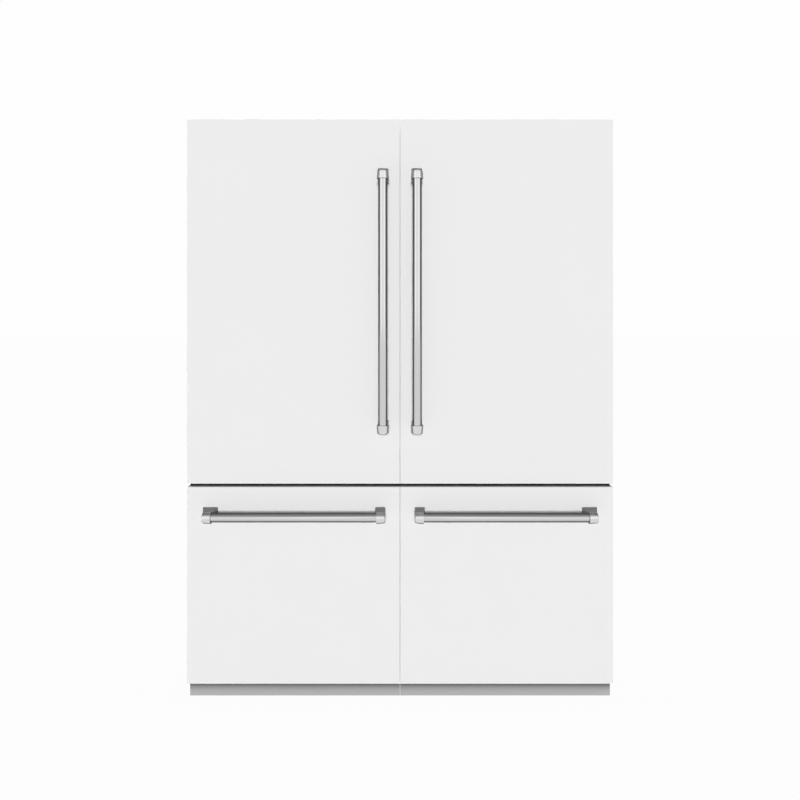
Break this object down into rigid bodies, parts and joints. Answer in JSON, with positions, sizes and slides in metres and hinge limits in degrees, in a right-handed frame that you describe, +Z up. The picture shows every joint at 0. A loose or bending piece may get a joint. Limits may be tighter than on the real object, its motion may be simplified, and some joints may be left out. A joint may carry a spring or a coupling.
{
  "type": "french door refrigerator",
  "caption": "Wide built-in refrigerator with side-by-side hinged upper doors over side-by-side freezer drawers, tubular bar handles and a recessed kick plate.",
  "frame": {"origin": "on the floor, in the middle of the outline", "axes": "+Z up, the doors face -Y, +X to the right as seen from the front"},
  "size_m": [1.524, 0.7099, 2.08],
  "materials": {
    "white_paint": "matte",
    "cabinet_paint": "satin",
    "galvanised_steel": "satin",
    "foam": "matte",
    "liner_plastic": "satin",
    "shelf_glass": "gloss",
    "fin_aluminium": "satin",
    "dark_plastic": "matte",
    "kick_steel": "satin",
    "black_paint": "satin",
    "grey_plastic": "matte",
    "light_diffuser": "satin",
    "dark_gloss": "gloss",
    "screw_steel": "satin",
    "roller_plastic": "matte",
    "clear_plastic": "gloss",
    "gasket_rubber": "matte",
    "handle_steel": "polished"
  },
  "bodies": {
    "cabinet": {"outer_wrapper": "cabinet_paint", "back_panel": "galvanised_steel", "base_frame": "galvanised_steel", "cabinet_foam": "foam", "fridge_liners": "liner_plastic", "freezer_liners": "liner_plastic", "glass_shelves": "shelf_glass", "shelf_frames": "liner_plastic", "air_duct_covers": "liner_plastic", "evaporators": "fin_aluminium", "hinge_brackets": "galvanised_steel", "band_trim": "dark_plastic", "kick_plates": "kick_steel", "leveling_feet": "dark_plastic", "drawer_rails": "galvanised_steel", "compressor": "black_paint", "condenser": "black_paint", "fan_shroud": "dark_plastic", "control_box": "grey_plastic", "led_lights": "light_diffuser", "control_panel": "dark_gloss", "machine_cover": "galvanised_steel", "cabinet_screws": "screw_steel"},
    "condenser_fan": {"condenser_fan": "grey_plastic"},
    "left_evaporator_fan": {"left_evaporator_fan": "grey_plastic"},
    "right_evaporator_fan": {"right_evaporator_fan": "grey_plastic"},
    "rear_rollers": {"rear_rollers": "roller_plastic"},
    "dairy_lid": {"dairy_lid": "clear_plastic"},
    "left_crisper": {"left_crisper": "clear_plastic"},
    "left_door": {"left_door_skin": "white_paint", "left_door_inner_panel": "liner_plastic", "left_door_gasket": "gasket_rubber", "left_door_bins": "clear_plastic", "left_door_handle_bar": "handle_steel", "left_door_handle_posts": "handle_steel"},
    "left_drawer": {"left_drawer_skin": "white_paint", "left_drawer_inner_panel": "liner_plastic", "left_drawer_gasket": "gasket_rubber", "left_drawer_handle_bar": "handle_steel", "left_drawer_handle_posts": "handle_steel", "left_drawer_basket": "clear_plastic", "left_drawer_runners": "galvanised_steel"},
    "left_tray": {"left_drawer_tray": "clear_plastic"},
    "left_middle_runners": {"left_middle_runners": "galvanised_steel"},
    "right_crisper": {"right_crisper": "clear_plastic"},
    "right_door": {"right_door_skin": "white_paint", "right_door_inner_panel": "liner_plastic", "right_door_gasket": "gasket_rubber", "right_door_bins": "clear_plastic", "right_door_handle_bar": "handle_steel", "right_door_handle_posts": "handle_steel"},
    "right_drawer": {"right_drawer_skin": "white_paint", "right_drawer_inner_panel": "liner_plastic", "right_drawer_gasket": "gasket_rubber", "right_drawer_handle_bar": "handle_steel", "right_drawer_handle_posts": "handle_steel", "right_drawer_basket": "clear_plastic", "right_drawer_runners": "galvanised_steel"},
    "right_tray": {"right_drawer_tray": "clear_plastic"},
    "right_middle_runners": {"right_middle_runners": "galvanised_steel"}
  },
  "joints": [
    {"name": "left_door_hinge", "type": "hinge", "parent": "cabinet", "child": "left_door", "pos_m": [-0.74, -0.245, 0.777], "axis": [0, 0, -1], "range_deg": [0, 110]},
    {"name": "right_door_hinge", "type": "hinge", "parent": "cabinet", "child": "right_door", "pos_m": [0.74, -0.245, 0.777], "axis": [0, 0, 1], "range_deg": [0, 110]},
    {"name": "dairy_lid_hinge", "type": "hinge", "parent": "right_door", "child": "dairy_lid", "pos_m": [0.3675, -0.1965, 1.843], "axis": [1, 0, 0], "range_deg": [0, 90]},
    {"name": "left_drawer_slide", "type": "slide", "parent": "cabinet", "child": "left_drawer", "axis": [0, -1, 0], "range_m": [0, 0.4]},
    {"name": "left_middle_runner_slide", "type": "slide", "parent": "cabinet", "child": "left_middle_runners", "axis": [0, -1, 0], "range_m": [0, 0.2]},
    {"name": "left_tray_slide", "type": "slide", "parent": "left_drawer", "child": "left_tray", "axis": [0, 1, 0], "range_m": [0, 0.11]},
    {"name": "left_crisper_slide", "type": "slide", "parent": "cabinet", "child": "left_crisper", "axis": [0, -1, 0], "range_m": [0, 0.1]},
    {"name": "right_drawer_slide", "type": "slide", "parent": "cabinet", "child": "right_drawer", "axis": [0, -1, 0], "range_m": [0, 0.4]},
    {"name": "right_middle_runner_slide", "type": "slide", "parent": "cabinet", "child": "right_middle_runners", "axis": [0, -1, 0], "range_m": [0, 0.2]},
    {"name": "right_tray_slide", "type": "slide", "parent": "right_drawer", "child": "right_tray", "axis": [0, 1, 0], "range_m": [0, 0.11]},
    {"name": "right_crisper_slide", "type": "slide", "parent": "cabinet", "child": "right_crisper", "axis": [0, -1, 0], "range_m": [0, 0.1]},
    {"name": "condenser_fan_spin", "type": "hinge", "parent": "cabinet", "child": "condenser_fan", "pos_m": [0.051, 0.247, 0.178], "axis": [1, 0, 0], "continuous": true},
    {"name": "left_evaporator_fan_spin", "type": "hinge", "parent": "cabinet", "child": "left_evaporator_fan", "pos_m": [-0.3675, 0.237, 0.655], "axis": [0, 1, 0], "continuous": true},
    {"name": "right_evaporator_fan_spin", "type": "hinge", "parent": "cabinet", "child": "right_evaporator_fan", "pos_m": [0.3675, 0.237, 0.655], "axis": [0, 1, 0], "continuous": true},
    {"name": "rear_roller_spin", "type": "hinge", "parent": "cabinet", "child": "rear_rollers", "pos_m": [0, 0.3, 0.022], "axis": [1, 0, 0], "continuous": true}
  ],
  "couplings": [
    {"joint": "left_middle_runner_slide", "follows": "left_drawer_slide", "ratio": 0.5},
    {"joint": "right_middle_runner_slide", "follows": "right_drawer_slide", "ratio": 0.5}
  ]
}
